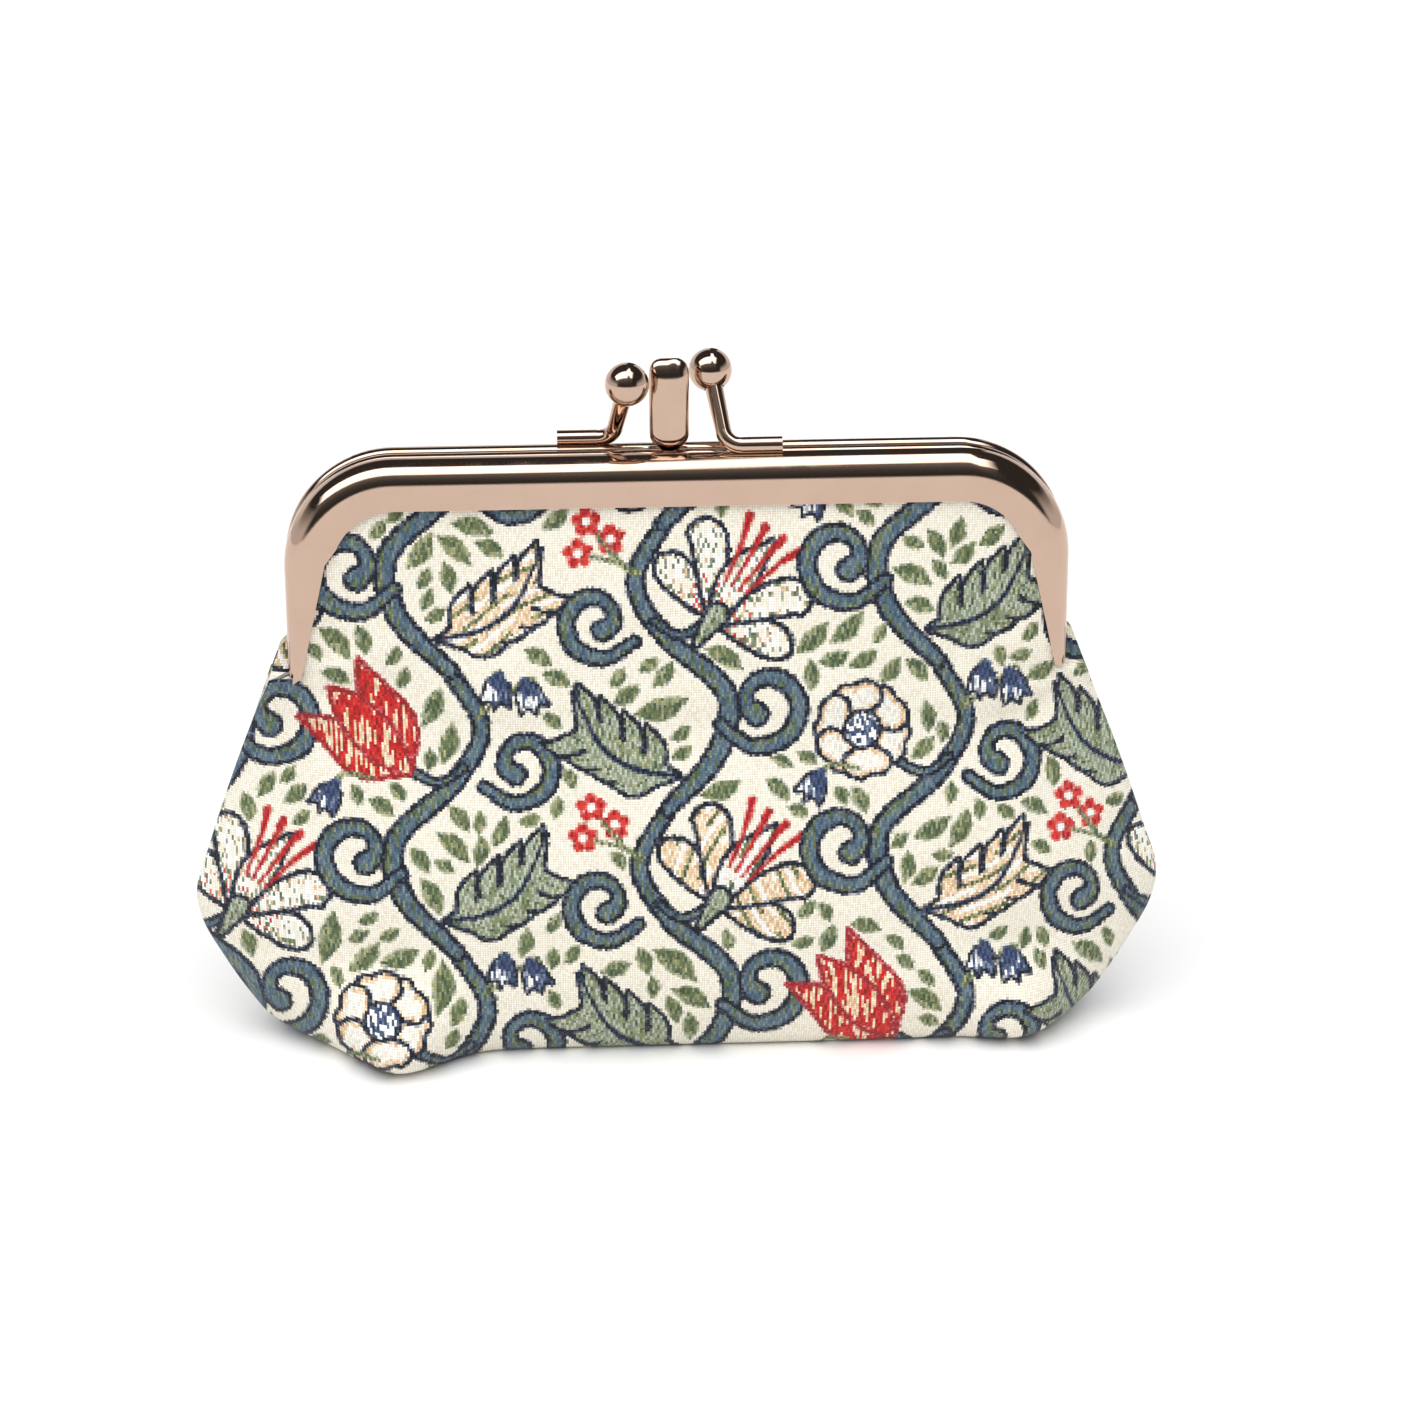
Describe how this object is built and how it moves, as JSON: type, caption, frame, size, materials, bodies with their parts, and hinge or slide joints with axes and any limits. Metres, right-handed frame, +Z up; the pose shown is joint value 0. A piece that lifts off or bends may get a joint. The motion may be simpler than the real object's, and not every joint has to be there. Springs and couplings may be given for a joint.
{
  "type": "coin purse",
  "caption": "Two-pocket coin purse: a woven pouch on hinged metal frames, closed by two balls that snap past a centre post.",
  "frame": {"origin": "middle of the base the purse stands on", "axes": "+X to the right seen from the front, +Y from front to back, +Z up to the clasp; row axes as drawn"},
  "size_m": [0.1342, 0.0324, 0.0967],
  "materials": {
    "rose_gold_plated_steel": "polished rose-gold plating",
    "woven_tapestry": "coarse multicolour tapestry weave with a floral pattern",
    "cotton_lining": "plain beige lining cloth",
    "twisted_paper_cord": "plain twisted paper cord"
  },
  "bodies": {
    "pouch": {"front_pouch_wall": "woven_tapestry", "back_pouch_wall": "woven_tapestry", "front_pocket_lining": "cotton_lining", "back_pocket_lining": "cotton_lining", "divider": "cotton_lining", "middle_frame": "rose_gold_plated_steel", "middle_paper_cord": "twisted_paper_cord", "clasp_post": "rose_gold_plated_steel", "pivot_rivets": "rose_gold_plated_steel", "pivot_washers": "rose_gold_plated_steel"},
    "front_leaf": {"front_frame": "rose_gold_plated_steel", "front_paper_cord": "twisted_paper_cord", "front_panel": "woven_tapestry", "front_panel_lining": "cotton_lining", "front_ball_stem": "rose_gold_plated_steel", "front_ball": "rose_gold_plated_steel"},
    "back_leaf": {"back_frame": "rose_gold_plated_steel", "back_paper_cord": "twisted_paper_cord", "back_panel": "woven_tapestry", "back_panel_lining": "cotton_lining", "back_ball_stem": "rose_gold_plated_steel", "back_ball": "rose_gold_plated_steel"}
  },
  "joints": [
    {"name": "front_open", "type": "hinge", "parent": "pouch", "child": "front_leaf", "pos_m": [0, 0, 0.0505], "axis": [1, 0, 0], "range_deg": [0, 60]},
    {"name": "back_open", "type": "hinge", "parent": "pouch", "child": "back_leaf", "pos_m": [0, 0, 0.0505], "axis": [-1, 0, 0], "range_deg": [0, 60]}
  ]
}
